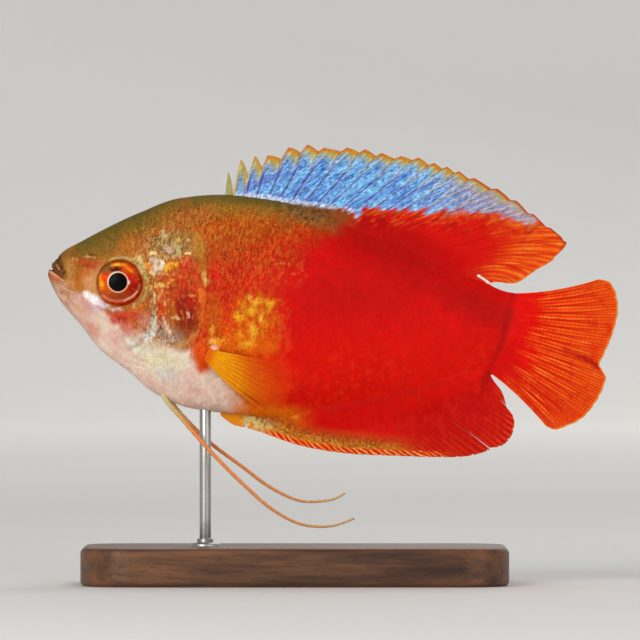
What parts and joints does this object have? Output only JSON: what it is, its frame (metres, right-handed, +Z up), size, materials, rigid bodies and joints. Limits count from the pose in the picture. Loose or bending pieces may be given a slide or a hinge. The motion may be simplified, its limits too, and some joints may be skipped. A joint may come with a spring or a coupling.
{
  "type": "ornamental fish model",
  "caption": "Life-size still model of a male red dwarf gourami in profile, with spread fins and trailing feelers, held on a low wooden block by a thin rod.",
  "frame": {"origin": "middle of the model's length and width, at the underside of the stand's base", "axes": "+X from the snout towards the tail, +Y towards the fish's right side, +Z up"},
  "size_m": [0.075, 0.032, 0.0578],
  "materials": {
    "skin": "wet scaled fish skin, red with an orange and cream head",
    "eye": "clear glossy eye with an orange-red iris and a black pupil",
    "fin": "thin rayed fin skin, red with a blue band on the back fin",
    "clear_fin": "thin see-through fin skin with fine dark red rays",
    "feeler": "soft satin skin, cream at the root to orange and tan",
    "base_wood": "dark oiled hardwood, satin",
    "rod_metal": "thin brushed rod"
  },
  "bodies": {
    "root": {"head": "skin", "lower_jaw": "skin", "gill_cover_left": "skin", "gill_cover_right": "skin", "trunk": "skin", "tail_stalk": "skin", "eye_left": "eye", "eye_right": "eye", "dorsal_fin": "fin", "anal_fin": "fin", "caudal_fin": "fin", "pectoral_fin_left": "clear_fin", "pectoral_fin_right": "clear_fin", "pelvic_feeler_left": "feeler", "pelvic_feeler_right": "feeler", "stand_base": "base_wood", "stand_rod": "rod_metal"}
  },
  "joints": []
}
